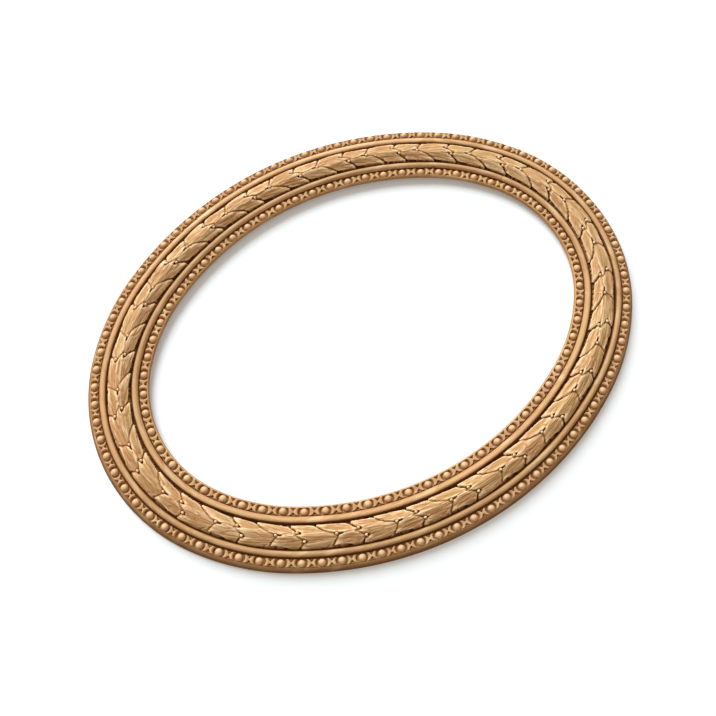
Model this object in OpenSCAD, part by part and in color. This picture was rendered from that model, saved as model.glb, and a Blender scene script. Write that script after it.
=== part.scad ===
// Oval wooden picture frame. A ring of eight glued segments carries two smooth rounds, and three
// carved courses are planted on it: an outer row of pearls, a laurel garland, an inner row of pearls.
// The oval is eight arcs that meet with a common tangent, so every moulding runs about the same
// centres. Places round the ring are given by the angle of the outward normal, from the +X end.
// Depth "in" is measured square to the oval, from the outer edge towards the opening.

/* [Oval] */
// Length over the outer edges, along X
frame_l = 440; // [400:1:480]
// Width over the outer edges, along Y
frame_w = 340; // [320:1:370]

/* [Moulding] */
// Width of the sloped outer edge
edge_w = 3; // [2:0.5:5]
// Height of the upright foot of the outer edge
edge_foot_h = 1.2; // [0.8:0.1:2]
// Height of the outer edge where it meets the pearls
edge_h = 6.2; // [5.5:0.1:7]
// Width of each row of pearls
bead_w = 6; // [5.8:0.1:8]
// Width of each smooth round
round_w = 6; // [5:0.5:8]
// Height of the top of the smooth rounds
round_top = 9; // [8.5:0.1:10]
// Width of the laurel garland
garland_w = 18; // [16:0.5:20]
// Height of the garland where its curved top starts
garland_side = 7.4; // [7:0.1:8]
// Height of the crest of the garland, the highest point of the frame
garland_top = 13; // [12:0.1:15]
// Height of the seat under the garland
garland_seat = 5.5; // [5:0.1:6]

/* [Rebate] */
// Depth of the rebate behind the sight edge, and height of the seats of both rows of pearls
rebate_h = 4; // [3.8:0.1:4.4]
// How far the lip covers the rebate
lip_w = 5; // [4.5:0.1:5.5]
// How far the tongue of the inner row of pearls enters the ring
tongue_w = 1.5; // [1:0.1:1.7]
// Thickness of that tongue
tongue_t = 1.2; // [0.8:0.1:1.4]

/* [Pearls] */
// Pearls of the outer row on each end segment
outer_end_n = 12; // [8:1:12]
// Pearls of the outer row on each shoulder segment
outer_shoulder_n = 5; // [3:1:5]
// Pearls of the outer row on each side segment
outer_side_n = 20; // [14:1:20]
// Pearls of the inner row on each end segment
inner_end_n = 8; // [5:1:8]
// Pearls of the inner row on each shoulder segment
inner_shoulder_n = 4; // [2:1:4]
// Pearls of the inner row on each side segment
inner_side_n = 16; // [10:1:16]
// Diameter of a pearl
pearl_d = 5.7; // [5:0.1:5.8]
// Height of the top of the pearls
pearl_top = 8.4; // [8:0.1:9]
// Height of the lands between the pearls
bead_top = 7.6; // [7.2:0.1:8]
// Height of the floor of the cup round each pearl
cup_floor = 5.7; // [5.5:0.1:6]
// Diameter of the cup round each pearl
cup_d = 9.2; // [8.6:0.1:10]
// Side of the triangular nick at each side of a land
nick_w = 2.2; // [1.5:0.1:2.6]
// Height of the floor of the nick
nick_floor = 6.4; // [6:0.1:6.8]

/* [Joint splines] */
// Width of a spline, across the moulding
spline_w = 20; // [14:1:22]
// Length of a spline, half in each segment
spline_l = 16; // [10:1:20]
// Thickness of a spline
spline_t = 1.8; // [1.4:0.1:2]
// Height of the underside of the splines
spline_z = 2.2; // [2:0.1:2.4]

/* [Turn buttons] */
// Width of a turn button
button_w = 8; // [6:0.5:10]
// Thickness of a turn button
button_t = 1; // [0.8:0.1:1.2]
// Reach of a turn button from its screw to its tip
button_reach = 15; // [14.5:0.5:16]
// How far the tip of a turn button laps over the rebate when it holds the picture
button_lap = 3.5; // [3:0.5:4]
// Angle of swing of a turn button, from lying along the frame to reaching over the rebate
button_angle = 90; // [60:5:90]
// Diameter of the shank of a turn button screw
button_screw_d = 2.5; // [2:0.1:3]
// Diameter of the head of a turn button screw
button_head_d = 4.8; // [4:0.1:5.5]
// Length of a turn button screw
button_screw_l = 9; // [7:0.5:10]

/* [Keyhole plate] */
// Width of the keyhole plate
plate_w = 14; // [13:0.5:18]
// Thickness of the keyhole plate
plate_t = 1.5; // [1.2:0.1:1.8]
// From each screw of the plate to the end of the plate
plate_margin = 3; // [2.8:0.1:3.4]
// Diameter of the round entry of the keyhole
keyhole_d = 8; // [7:0.1:9]
// Width of the slot of the keyhole
keyslot_w = 4; // [3:0.1:4.5]
// Distance from the entry to the closed end of the slot
keyslot_l = 9; // [7:0.1:10]
// Diameter of the shank of a plate screw
plate_screw_d = 2.2; // [1.8:0.1:2.4]
// Diameter of the head of a plate screw
plate_head_d = 4.2; // [3.6:0.1:4.4]
// Length of a plate screw
plate_screw_l = 7; // [5:0.1:7.2]
// Depth of the hollow behind the keyhole, where the head of the wall screw goes
keyhole_hollow_h = 4.6; // [4.2:0.1:4.8]

/* [Hidden] */
$fn = 96;
// Clearances: hardware set below the back, play round a fitted piece, play of a turning piece
flush_gap = 0.1;
fit_gap = 0.2;
turn_gap = 0.05;
// How far a cut runs past the face that it opens
cut_over = 1;
// Depth of the driver slot in a screw head, and its width
drive_h = 0.5;
drive_w = 0.7;
// Shares that give the oval its shape: radius of the end arcs against that of a true ellipse,
// and the normal angles at which one arc hands over to the next
end_radius_share = 1.058;
end_angle = 36;
side_angle = 59.5;

// Depths in from the outer edge
outer_row_in = edge_w + bead_w / 2;
outer_round_in = edge_w + bead_w + round_w / 2;
garland_in = edge_w + bead_w + round_w;
crest_in = garland_in + garland_w / 2;
inner_round_in = garland_in + garland_w + round_w / 2;
inner_strip_in = garland_in + garland_w + round_w;
inner_row_in = inner_strip_in + bead_w / 2;
mould_w = inner_strip_in + bead_w;
rebate_in = mould_w - lip_w;

// The screw of a turn button stands in by what its reach and its lap leave. The keyhole plate has
// its middle under the crest of the garland and a screw under each smooth round.
button_in = rebate_in + button_lap - button_reach;
plate_in = crest_in;
plate_screw_gap = inner_round_in - outer_round_in;
plate_l = plate_screw_gap + 2 * plate_margin;

// Heights
round_mid = round_top - round_w / 2;
garland_rise = garland_top - garland_side;
garland_r = (pow(garland_w / 2, 2) + pow(garland_rise, 2)) / (2 * garland_rise);
pearl_mid = pearl_top - pearl_d / 2;
pearl_foot = (rebate_h + cup_floor) / 2;

// Radii of the three kinds of arc, from the two half sizes and the tangents that they share
half_l = frame_l / 2;
half_w = frame_w / 2;
end_r = end_radius_share * half_w * half_w / half_l;
arc_det = cos(end_angle) * (1 - sin(side_angle)) - cos(side_angle) * (1 - sin(end_angle));
shoulder_more = ((half_l - end_r) * (1 - sin(side_angle)) - (half_w - end_r) * cos(side_angle)) / arc_det;
side_more = ((half_w - end_r) * cos(end_angle) - (half_l - end_r) * (1 - sin(end_angle))) / arc_det;
shoulder_r = end_r + shoulder_more;
side_r = shoulder_r + side_more;
end_c = [half_l - end_r, 0];
shoulder_c = end_c - shoulder_more * [cos(end_angle), sin(end_angle)];
side_c = [0, half_w - side_r];

// The arcs in turn, anticlockwise from the +X end
arc_r = [end_r, shoulder_r, side_r, shoulder_r, end_r, shoulder_r, side_r, shoulder_r];
arc_c = [
    end_c, shoulder_c, side_c,
    [-shoulder_c.x, shoulder_c.y], -end_c, -shoulder_c, -side_c,
    [shoulder_c.x, -shoulder_c.y]
];
arc_from = [
    -end_angle, end_angle, side_angle, 180 - side_angle, 180 - end_angle,
    180 + end_angle, 180 + side_angle, 360 - side_angle, 360 - end_angle
];

// Pearls of each row on the arcs in turn
outer_n = [
    outer_end_n, outer_shoulder_n, outer_side_n, outer_shoulder_n,
    outer_end_n, outer_shoulder_n, outer_side_n, outer_shoulder_n
];
inner_n = [
    inner_end_n, inner_shoulder_n, inner_side_n, inner_shoulder_n,
    inner_end_n, inner_shoulder_n, inner_side_n, inner_shoulder_n
];

// Normal angle at a share of the way along arc i
function nu_along(i, share) = arc_from[i] + share * (arc_from[i + 1] - arc_from[i]);

// Segments that carry a turn button, at their middle
button_arc = [1, 2, 3, 5, 6, 7];

// Puts things on arc i at normal angle nu and depth d: X points outwards there
module at_oval(i, nu, d) {
    translate([arc_c[i].x, arc_c[i].y, 0])
        rotate([0, 0, nu])
            translate([arc_r[i] - d, 0, 0])
                children();
}

// Sweeps a profile, drawn with depth in as -X and height as Y, along the whole of arc i
module sweep_arc(i) {
    translate([arc_c[i].x, arc_c[i].y, 0])
        rotate([0, 0, arc_from[i]])
            rotate_extrude(angle = arc_from[i + 1] - arc_from[i])
                translate([arc_r[i], 0])
                    children();
}

// Profiles
module ring_profile() {
    polygon([
        [0, 0],
        [0, edge_foot_h],
        [-edge_w, edge_h],
        [-edge_w, rebate_h],
        [-edge_w - bead_w, rebate_h],
        [-edge_w - bead_w, round_mid],
        [-garland_in, round_mid],
        [-garland_in, garland_seat],
        [-garland_in - garland_w, garland_seat],
        [-garland_in - garland_w, round_mid],
        [-inner_strip_in, round_mid],
        [-inner_strip_in, rebate_h + tongue_t],
        [-inner_strip_in + tongue_w, rebate_h + tongue_t],
        [-inner_strip_in + tongue_w, rebate_h],
        [-rebate_in, rebate_h],
        [-rebate_in, 0]
    ]);
    for (d = [outer_round_in, inner_round_in])
        translate([-d, round_mid])
            intersection() {
                circle(d = round_w);
                translate([-round_w / 2, 0]) square([round_w, round_w]);
            }
}

module garland_profile() {
    intersection() {
        translate([-crest_in, garland_top - garland_r]) circle(r = garland_r);
        translate([-garland_in - garland_w, garland_seat])
            square([garland_w, garland_top - garland_seat + cut_over]);
    }
}

module outer_pearl_profile() {
    translate([-edge_w - bead_w, rebate_h]) square([bead_w, bead_top - rebate_h]);
}

module inner_pearl_profile() {
    translate([-mould_w, rebate_h]) square([bead_w, bead_top - rebate_h]);
    translate([-inner_strip_in, rebate_h]) square([tongue_w, tongue_t]);
}

// One pearl with its foot in the floor of the cup
module pearl() {
    rotate_extrude()
        intersection() {
            translate([0, pearl_mid]) circle(d = pearl_d);
            translate([0, pearl_foot]) square([pearl_d, pearl_d]);
        }
}

// A row of n pearls on arc i at depth d, cut into the strip that is given as a profile
module pearl_strip(i, n, d) {
    difference() {
        sweep_arc(i) children();
        for (k = [1:n])
            at_oval(i, nu_along(i, (k - 0.5) / n), d)
                translate([0, 0, cup_floor]) cylinder(d = cup_d, h = bead_top);
        for (k = [0:n])
            at_oval(i, nu_along(i, k / n), d)
                for (side = [0, 180])
                    rotate([0, 0, side])
                        translate([bead_w / 2, 0, nick_floor])
                            rotate([0, 0, 180]) cylinder(d = nick_w, h = bead_top, $fn = 3);
    }
    for (k = [1:n])
        at_oval(i, nu_along(i, (k - 0.5) / n), d) pearl();
}

// Shape of a turn button seen from the back, its screw at the origin, its tip along +Y
module button_shape(more) {
    circle(d = button_w + 2 * more);
    translate([-button_w / 2 - more, 0]) square([button_w + 2 * more, button_reach - button_w / 2]);
    translate([0, button_reach - button_w / 2]) circle(d = button_w + 2 * more);
}

// Room that a turn button sweeps in the back of the ring
module button_pocket() {
    pocket_h = flush_gap + button_t + flush_gap;
    sweep_r = button_reach + fit_gap;
    translate([0, 0, -cut_over]) {
        linear_extrude(pocket_h + cut_over) button_shape(fit_gap);
        rotate([0, 0, button_angle]) linear_extrude(pocket_h + cut_over) button_shape(fit_gap);
        rotate([0, 0, 90]) rotate_extrude(angle = button_angle) square([sweep_r, pocket_h + cut_over]);
    }
}

// A countersunk screw that points up from the back, its head against the back face
module screw(shank_d, head_d, length, head_h) {
    difference() {
        union() {
            translate([0, 0, flush_gap]) cylinder(d1 = head_d, d2 = shank_d, h = head_h);
            translate([0, 0, flush_gap]) cylinder(d = shank_d, h = length);
        }
        translate([-head_d, -drive_w / 2, -cut_over])
            cube([2 * head_d, drive_w, cut_over + flush_gap + drive_h]);
    }
}

// The room for such a screw, wider all round by a given play
module screw_room(shank_d, head_d, length, head_h, play) {
    slope = (head_d - shank_d) / head_h;
    translate([0, 0, -cut_over])
        cylinder(d1 = head_d + slope * (cut_over + flush_gap) + 2 * play, d2 = shank_d + 2 * play,
            h = cut_over + flush_gap + head_h);
    translate([0, 0, -cut_over]) cylinder(d = shank_d + 2 * play, h = cut_over + flush_gap + length + play);
}

module button_screw_room(play) {
    screw_room(button_screw_d, button_head_d, button_screw_l, button_t, play);
}

module plate_screw_room(play) {
    screw_room(plate_screw_d, plate_head_d, plate_screw_l, plate_t, play);
}

// Screws of the keyhole plate: one on each side of its middle, on the centre line
module plate_screw_places() {
    for (side = [-1, 1])
        at_oval(0, 0, plate_in + side * plate_screw_gap / 2) children();
}

module plate_shape(more) {
    straight = plate_l - plate_w;
    for (side = [-1, 1])
        translate([side * straight / 2, 0]) circle(d = plate_w + 2 * more);
    translate([-straight / 2, -plate_w / 2 - more]) square([straight, plate_w + 2 * more]);
}

// Outline of a keyhole whose slot runs outwards
module keyhole_shape() {
    translate([-keyslot_l / 2, 0]) circle(d = keyhole_d);
    translate([-keyslot_l / 2, -keyslot_w / 2]) square([keyslot_l, keyslot_w]);
    translate([keyslot_l / 2, 0]) circle(d = keyslot_w);
}

// Sub-parts
module ring_segment(i) {
    color("burlywood")
    difference() {
        sweep_arc(i) ring_profile();
        for (nu = [arc_from[i], arc_from[i + 1]])
            at_oval(i, nu, crest_in) spline_body(turn_gap);
        if (len(search(i, button_arc)) > 0)
            at_oval(i, nu_along(i, 0.5), button_in) {
                button_pocket();
                button_screw_room(turn_gap);
            }
        if (i == 0) {
            at_oval(i, 0, plate_in)
                translate([0, 0, -cut_over]) {
                    linear_extrude(cut_over + flush_gap + plate_t) plate_shape(fit_gap);
                    linear_extrude(cut_over + keyhole_hollow_h)
                        translate([-keyslot_l / 2, 0]) hollow_shape();
                }
            plate_screw_places() plate_screw_room(turn_gap);
        }
    }
}

// Hollow that lets the head of a wall screw run from the entry to the closed end
module hollow_shape() {
    circle(d = keyhole_d + 2 * fit_gap);
    translate([0, -keyhole_d / 2 - fit_gap]) square([keyslot_l, keyhole_d + 2 * fit_gap]);
    translate([keyslot_l, 0]) circle(d = keyhole_d + 2 * fit_gap);
}

// A spline at the joint face, larger all round by a given play
module spline_body(play) {
    translate([0, 0, spline_z + spline_t / 2])
        cube([spline_w + 2 * play, spline_l + 2 * play, spline_t + 2 * play], center = true);
}

module joint_splines() {
    color("peru")
    for (i = [0:7])
        at_oval(i, arc_from[i + 1], crest_in) spline_body(0);
}

module outer_pearls(i) {
    color("tan")
    pearl_strip(i, outer_n[i], outer_row_in) outer_pearl_profile();
}

module inner_pearls(i) {
    color("tan")
    pearl_strip(i, inner_n[i], inner_row_in) inner_pearl_profile();
}

module garland(i) {
    color("burlywood")
    difference() {
        sweep_arc(i) garland_profile();
        if (len(search(i, button_arc)) > 0)
            at_oval(i, nu_along(i, 0.5), button_in) button_screw_room(turn_gap);
    }
}

module turn_button(b) {
    i = button_arc[b];
    color("silver")
    at_oval(i, nu_along(i, 0.5), button_in)
        difference() {
            translate([0, 0, flush_gap]) linear_extrude(button_t) button_shape(0);
            button_screw_room(turn_gap);
        }
}

module button_screws() {
    color("gold")
    for (i = button_arc)
        at_oval(i, nu_along(i, 0.5), button_in)
            screw(button_screw_d, button_head_d, button_screw_l, button_t);
}

module keyhole_plate() {
    color("silver")
    difference() {
        at_oval(0, 0, plate_in)
            translate([0, 0, flush_gap])
                linear_extrude(plate_t)
                    difference() {
                        plate_shape(0);
                        keyhole_shape();
                    }
        plate_screw_places() plate_screw_room(turn_gap);
    }
}

module plate_screws() {
    color("gold")
    plate_screw_places() screw(plate_screw_d, plate_head_d, plate_screw_l, plate_t);
}

ring_segment(0);  // ring_segment_1
ring_segment(1);  // ring_segment_2
ring_segment(2);  // ring_segment_3
ring_segment(3);  // ring_segment_4
ring_segment(4);  // ring_segment_5
ring_segment(5);  // ring_segment_6
ring_segment(6);  // ring_segment_7
ring_segment(7);  // ring_segment_8
joint_splines();
outer_pearls(0);  // outer_pearls_1
outer_pearls(1);  // outer_pearls_2
outer_pearls(2);  // outer_pearls_3
outer_pearls(3);  // outer_pearls_4
outer_pearls(4);  // outer_pearls_5
outer_pearls(5);  // outer_pearls_6
outer_pearls(6);  // outer_pearls_7
outer_pearls(7);  // outer_pearls_8
garland(0);  // garland_1
garland(1);  // garland_2
garland(2);  // garland_3
garland(3);  // garland_4
garland(4);  // garland_5
garland(5);  // garland_6
garland(6);  // garland_7
garland(7);  // garland_8
inner_pearls(0);  // inner_pearls_1
inner_pearls(1);  // inner_pearls_2
inner_pearls(2);  // inner_pearls_3
inner_pearls(3);  // inner_pearls_4
inner_pearls(4);  // inner_pearls_5
inner_pearls(5);  // inner_pearls_6
inner_pearls(6);  // inner_pearls_7
inner_pearls(7);  // inner_pearls_8
turn_button(0);  // turn_button_1
turn_button(1);  // turn_button_2
turn_button(2);  // turn_button_3
turn_button(3);  // turn_button_4
turn_button(4);  // turn_button_5
turn_button(5);  // turn_button_6
button_screws();
keyhole_plate();
plate_screws();
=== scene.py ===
"""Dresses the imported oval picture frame: laurel carving, pearls, grained wood, plated hardware."""

import math

import bpy
import numpy as np
from bpy.props import FloatProperty, FloatVectorProperty, IntProperty, PointerProperty
from mathutils import Matrix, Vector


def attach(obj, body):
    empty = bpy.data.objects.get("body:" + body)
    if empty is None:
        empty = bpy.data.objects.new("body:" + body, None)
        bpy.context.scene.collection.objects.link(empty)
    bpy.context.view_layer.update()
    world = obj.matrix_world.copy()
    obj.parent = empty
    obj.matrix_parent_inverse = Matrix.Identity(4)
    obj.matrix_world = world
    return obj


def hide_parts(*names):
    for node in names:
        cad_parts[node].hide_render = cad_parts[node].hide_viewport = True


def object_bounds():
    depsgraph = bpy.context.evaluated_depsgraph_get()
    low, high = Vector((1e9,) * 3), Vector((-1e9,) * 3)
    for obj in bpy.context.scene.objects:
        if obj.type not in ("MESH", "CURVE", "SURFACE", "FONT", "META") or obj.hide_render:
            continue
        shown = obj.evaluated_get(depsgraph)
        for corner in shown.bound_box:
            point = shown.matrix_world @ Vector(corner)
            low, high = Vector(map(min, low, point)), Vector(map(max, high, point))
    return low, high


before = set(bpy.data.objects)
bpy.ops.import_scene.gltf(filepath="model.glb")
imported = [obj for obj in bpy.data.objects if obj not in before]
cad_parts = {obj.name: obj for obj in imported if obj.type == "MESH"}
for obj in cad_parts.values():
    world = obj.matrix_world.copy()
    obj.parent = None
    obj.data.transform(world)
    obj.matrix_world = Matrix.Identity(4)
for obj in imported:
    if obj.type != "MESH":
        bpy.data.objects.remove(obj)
bpy.context.view_layer.update()
cad_low, cad_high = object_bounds()

bl_info = {
    "name": "Oval carved picture frame",
    "version": (1, 0, 0),
    "blender": (4, 5, 0),
    "location": "3D View > Sidebar > Oval Frame",
    "description": "Carves and finishes the pieces of an oval wooden picture frame",
    "category": "Object",
}

MM = 0.001
SEGMENTS = range(8)


# Sizes and colours that a user would change

def length(name, description, mm, high=1.0):
    """A length property in metres, whose default is given in mm."""
    return FloatProperty(name=name, description=description, default=mm * MM, min=0.0,
                         max=high, precision=5, subtype="DISTANCE", unit="LENGTH")


def share(name, description, default, high=1.0):
    """A number from 0 to a limit, without a unit."""
    return FloatProperty(name=name, description=description, default=default, min=0.0,
                         max=high, subtype="FACTOR")


def angle(name, description, degrees):
    """An angle property, whose default is given in degrees."""
    return FloatProperty(name=name, description=description, default=math.radians(degrees),
                         subtype="ANGLE", unit="ROTATION")


def colour(name, description, default):
    """A linear colour."""
    return FloatVectorProperty(name=name, description=description, default=default, size=3,
                               min=0.0, max=1.0, subtype="COLOR")


class FrameSizes(bpy.types.PropertyGroup):
    """Sizes of the oval and of its moulding."""
    frame_length: length("Length", "Over the outer edges, along X", (cad_high.x - cad_low.x) / MM)
    frame_width: length("Width", "Over the outer edges, along Y", (cad_high.y - cad_low.y) / MM)
    edge_width: length("Edge", "Width of the sloped outer edge", 3)
    row_width: length("Pearl row", "Width of each row of pearls", 6)
    round_width: length("Round", "Width of each smooth round", 6)
    garland_width: length("Garland", "Width of the laurel garland", 18)
    garland_side: length("Garland side", "Height where its curved top starts", 7.4)
    garland_top: length("Garland crest", "Height of the crest of the garland", 13)
    garland_seat: length("Garland seat", "Height of the seat under the garland", 5.5)
    rebate_height: length("Rebate", "Height of the seats of both rows of pearls", 4)
    tongue_width: length("Tongue", "How far the inner row's enters the ring", 1.5)
    tongue_height: length("Tongue thickness", "Thickness of that tongue", 1.2)


class PearlSizes(bpy.types.PropertyGroup):
    """Sizes of the pearls and of the lands between them."""
    pearl: length("Pearl", "Diameter of a pearl", 5.7)
    pearl_top: length("Pearl top", "Height of the top of the pearls", 8.4)
    land_top: length("Land top", "Height of the lands between pearls", 7.6)
    cup: length("Cup", "Diameter of each cup", 10.0)
    cup_floor: length("Cup floor", "Height of its floor", 5.7)
    wedge_from: length("Wedge from", "From the row's axis to its point", 0.55)
    wedge_spread: share("Wedge spread", "Half width of a wedge to its length", 1.0, high=3.0)
    wedge_depth: length("Wedge depth", "Depth of a wedge at its point", 1.75)
    wedge_rise: share("Wedge rise", "How fast its floor rises to the edge", 0.28)
    saddle: length("Saddle", "How far a land sinks at its middle", 0.35)
    bevel: length("Bevel", "Width of the worn bevel at both edges", 0.6)
    unevenness: length("Unevenness", "How far hand work leaves a pearl off", 0.15)
    rim: length("Rim", "Width of the inner row's rim", 1.2)
    rim_drop: length("Rim drop", "How far that rim lies below the lands", 0.5)
    rim_fall: length("Rim fall", "How far it falls toward the opening", 1.7)


class LaurelSizes(bpy.types.PropertyGroup):
    """Sizes of the leaves, berries and drilled eyes."""
    units: IntProperty(name="Repeats", description="Pairs of leaf rows", default=25, min=4)
    unit_shift: share("Phase", "Where the first repeat starts, as a share of one", 0.776)
    drift: share("Drift", "How far the spacing wanders, in repeats", 0.052)
    leaf_fall: length("Leaf fall", "How much lower a leaf's base lies than its tip", 1.3)
    edge_drop: length("Edge drop", "How far a leaf's edge is rounded down", 1.0)
    edge_round: length("Edge round", "Width of that rounding", 1.6)
    swell: length("Swell", "How far a leaf swells between its edges", 0.45)
    swell_width: length("Swell width", "How fast it swells from its edge", 2.3)
    flank_lift: length("Flank lift", "How much fuller than a round its sides are", 1.4)
    roof: length("Roof", "How much its flanks are flattened", 0.55)
    cut_depth: length("Cut depth", "Depth of the cut that outlines a leaf", 1.1)
    cut_width: length("Cut width", "Half width of that cut", 0.95)
    faint: share("Faint cuts", "How much weaker the cuts are at the worn left end", 0.55)
    rib_depth: length("Rib depth", "Depth of the long folds of a leaf", 0.34)
    vein_depth: length("Vein depth", "Depth of the fine veins", 0.3)
    ragged: length("Ragged edge", "How far hand work leaves an outline off", 0.26)
    berry: length("Berry", "Radius of a berry", 1.15)
    eye_depth: length("Eye depth", "Depth of the drilled eyes", 1.5)
    mesh_step: length("Mesh step", "Distance between points", 0.27)


class WoodColours(bpy.types.PropertyGroup):
    """Colours of the raw wood, of its painted shade and highlight, and of the plated hardware."""
    light: colour("Light wood", "Between the growth lines", (0.618, 0.36, 0.17))
    dark: colour("Dark wood", "In the growth lines", (0.39, 0.182, 0.06))
    olive: colour("Olive patches", "Broad yellowish patches", (0.61, 0.4, 0.16))
    warm: colour("Warm patches", "Pinkish patches", (0.63, 0.325, 0.158))
    # Pale wood, also painted as a highlight on ridges, crests and worn edges
    pale_and_highlight: colour("Pale patches", "Light patches and worn edges", (0.95, 0.715, 0.43))
    # Painted shade in cuts, hollows and grooves
    recess_shade: colour("Recesses", "Cuts and grooves", (0.125, 0.036, 0.005))
    steel: colour("Zinc plate", "Turn buttons and keyhole plate", (0.56, 0.57, 0.58))
    brass: colour("Brass", "Screws", (0.7, 0.5, 0.2))
    contrast: share("Grain contrast", "How strongly the growth lines show", 0.55)


class StageSettings(bpy.types.PropertyGroup):
    """Floor, lamp and camera."""
    floor: colour("Floor", "Colour of the floor", (0.85, 0.905, 0.935))
    floor_lift: share("Floor lift", "White that is only seen or mirrored, and lights nothing", 0.17)
    plain_from: length("Plain from", "Where the floor starts to whiten", 500)
    key: FloatProperty(name="Key lamp", description="Its power", default=268.0, unit="POWER")
    key_turn: angle("Key turn", "Where the key lamp stands, from +X", 92.0)
    key_rise: angle("Key rise", "How high the key lamp stands", 35.0)
    key_away: length("Key distance", "How far the key lamp stands", 4200, high=20.0)
    key_size: length("Key size", "Diameter of the key lamp", 3200, high=10.0)
    fill: share("Fill", "Strength of the light from all round", 0.4)
    fill_tone: colour("Fill tone", "Colour of the light from all round", (1.0, 0.865, 0.72))
    key_tone: colour("Key tone", "Colour of the key lamp", (0.91, 0.96, 1.0))
    lens: FloatProperty(name="Lens", description="Focal length", default=46.0, unit="CAMERA")


# The oval: eight arcs that meet with a common tangent

END_ANGLE, SIDE_ANGLE, END_SHARE = 36.0, 59.5, 1.058
ARC_FROM = np.array([-END_ANGLE, END_ANGLE, SIDE_ANGLE, 180 - SIDE_ANGLE, 180 - END_ANGLE,
                     180 + END_ANGLE, 180 + SIDE_ANGLE, 360 - SIDE_ANGLE, 360 - END_ANGLE])


class Oval:
    """Centres and radii of the arcs, and lengths along the crest of the garland, in metres."""

    def __init__(self, sizes):
        half_l, half_w = sizes.frame_length / 2, sizes.frame_width / 2
        turns = (math.radians(END_ANGLE), math.radians(SIDE_ANGLE))
        (ca, sa), (cb, sb) = ((math.cos(t), math.sin(t)) for t in turns)
        r_end = END_SHARE * half_w ** 2 / half_l
        det = ca * (1 - sb) - cb * (1 - sa)
        more = ((half_l - r_end) * (1 - sb) - (half_w - r_end) * cb) / det
        most = ((half_w - r_end) * ca - (half_l - r_end) * (1 - sa)) / det
        r_shoulder, r_side = r_end + more, r_end + more + most
        end, side = (half_l - r_end, 0.0), (0.0, half_w - r_side)
        sx, sy = end[0] - more * ca, -more * sa
        self.radius = np.array([r_end, r_shoulder, r_side, r_shoulder] * 2)
        centres = np.array([end, (sx, sy), side, (-sx, sy)])
        self.centre = np.concatenate([centres, -centres])
        self.row_in = sizes.edge_width + sizes.row_width / 2
        self.garland_in = sizes.edge_width + sizes.row_width + sizes.round_width
        self.crest_in = self.garland_in + sizes.garland_width / 2
        self.strip_in = self.garland_in + sizes.garland_width + sizes.round_width
        self.inner_row_in = self.strip_in + sizes.row_width / 2
        spans = np.radians(np.diff(ARC_FROM)) * (self.radius - self.crest_in)
        self.crest_length = spans.sum()
        self.crest_from = np.concatenate([[-spans[0] / 2], np.cumsum(spans) - spans[0] / 2])

    def points(self, arc, nu, depth, height):
        """Arc centre plus (radius less depth) along the outward normal at angle nu, at a height."""
        reach = self.radius[arc] - depth
        x = self.centre[arc, 0] + reach * np.cos(nu)
        y = self.centre[arc, 1] + reach * np.sin(nu)
        return np.stack(np.broadcast_arrays(x, y, height), axis=-1)

    def angles(self, arc, count):
        """Evenly spaced normal angles over one arc, in radians."""
        return np.radians(np.linspace(ARC_FROM[arc], ARC_FROM[arc + 1], count))

    def chord(self, arc):
        """Direction of the grain in the segment: square to the normal at its middle."""
        return math.radians((ARC_FROM[arc] + ARC_FROM[arc + 1]) / 2 + 90)


# Meshes

LATTICE = 64
BLUR = 5
SHARP_FROM = math.radians(62)


def smooth_noise(seed, kind, a, b):
    """Values from -1 to 1 on a lattice, blended by a cubic. A kind is what it adds to the seed,
    and the lattice's steps along a and b."""
    more, step_a, step_b = kind
    a, b = a / step_a, b / step_b
    table = np.random.default_rng(seed + more).uniform(-1, 1, (LATTICE, LATTICE))
    ia, ib = np.floor(a).astype(int), np.floor(b).astype(int)
    fa, fb = a - ia, b - ib
    fa, fb = fa * fa * (3 - 2 * fa), fb * fb * (3 - 2 * fb)
    at = lambda i, j: table[(ia + i) % LATTICE, (ib + j) % LATTICE]
    near = at(0, 0) * (1 - fa) + at(1, 0) * fa
    far = at(0, 1) * (1 - fa) + at(1, 1) * fa
    return near * (1 - fb) + far * fb


def blurred(field):
    """Running mean over a square of 2 * BLUR + 1 points, twice, with the edges held."""
    width = 2 * BLUR + 1
    for axis in (0, 1, 0, 1):
        pads = [(BLUR + 1, BLUR) if k == axis else (0, 0) for k in (0, 1)]
        total = np.cumsum(np.pad(field, pads, "edge"), axis=axis)
        n = field.shape[axis]
        top = np.take(total, range(width, width + n), axis)
        field = (top - np.take(total, range(n), axis)) / width
    return field


def ring_quads(rows, cols):
    """Quads between neighbouring rows of cols points each, every row a closed loop."""
    i, j = np.meshgrid(np.arange(rows - 1), np.arange(cols), indexing="ij")
    k = (j + 1) % cols
    quads = [i * cols + j, (i + 1) * cols + j, (i + 1) * cols + k, i * cols + k]
    return np.stack(quads, -1).reshape(-1, 4)


def tube_faces(rows, cols):
    """The quads of a tube of closed loops, and one many-sided cap at each end."""
    caps = [np.arange(cols)[None, :], (rows - 1) * cols + np.arange(cols)[None, ::-1]]
    return [ring_quads(rows, cols)] + caps


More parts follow.
